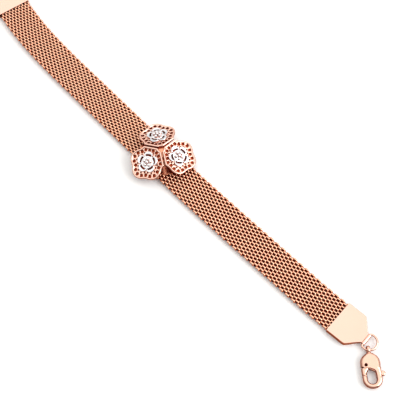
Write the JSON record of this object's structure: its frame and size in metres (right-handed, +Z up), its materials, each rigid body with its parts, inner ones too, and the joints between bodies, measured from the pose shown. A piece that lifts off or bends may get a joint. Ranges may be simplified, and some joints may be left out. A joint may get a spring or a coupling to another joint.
{
  "type": "mesh bracelet",
  "caption": "Flat woven-mesh bracelet lying open, with plain end caps, a trigger clasp on a D-ring and a cluster of pierced two-tone flowers at its middle.",
  "frame": {"origin": "middle of the bracelet's footprint, on the surface that it lies on", "axes": "+X along the band towards the clasp, +Y across the band, +Z up from the surface"},
  "size_m": [0.1828, 0.021, 0.0067],
  "materials": {
    "woven_gold": "polished woven rose gold wire",
    "rose_gold": "polished rose gold",
    "white_gold": "polished white gold"
  },
  "bodies": {
    "band": {"mesh_band": "woven_gold", "end_cap_clasp": "rose_gold", "end_cap_far": "rose_gold", "flower_base": "rose_gold", "flower_1": "rose_gold", "flower_2": "rose_gold", "flower_3": "rose_gold", "petals_1": "white_gold", "petals_2": "white_gold", "petals_3": "white_gold", "rosette_1": "white_gold", "rosette_2": "white_gold", "rosette_3": "white_gold"},
    "clasp": {"clasp_link": "rose_gold", "clasp_body": "rose_gold"},
    "gate": {"clasp_lever": "rose_gold"},
    "far_ring": {"far_link": "rose_gold"}
  },
  "joints": [
    {"name": "clasp_swing", "type": "hinge", "parent": "band", "child": "clasp", "pos_m": [0.07957, 0.0012, 0.001], "axis": [0.0741, -0.9973, 0], "range_deg": [-110, 110]},
    {"name": "gate_open", "type": "hinge", "parent": "clasp", "child": "gate", "pos_m": [0.0846, -0.00476, 0.0012], "axis": [0, 0, 1], "range_deg": [0, 22], "stiffness_Nm_per_rad": 0.003},
    {"name": "far_ring_swing", "type": "hinge", "parent": "band", "child": "far_ring", "pos_m": [-0.08771, 0.00617, 0.001], "axis": [0.2129, 0.9771, 0], "range_deg": [-110, 120]}
  ]
}
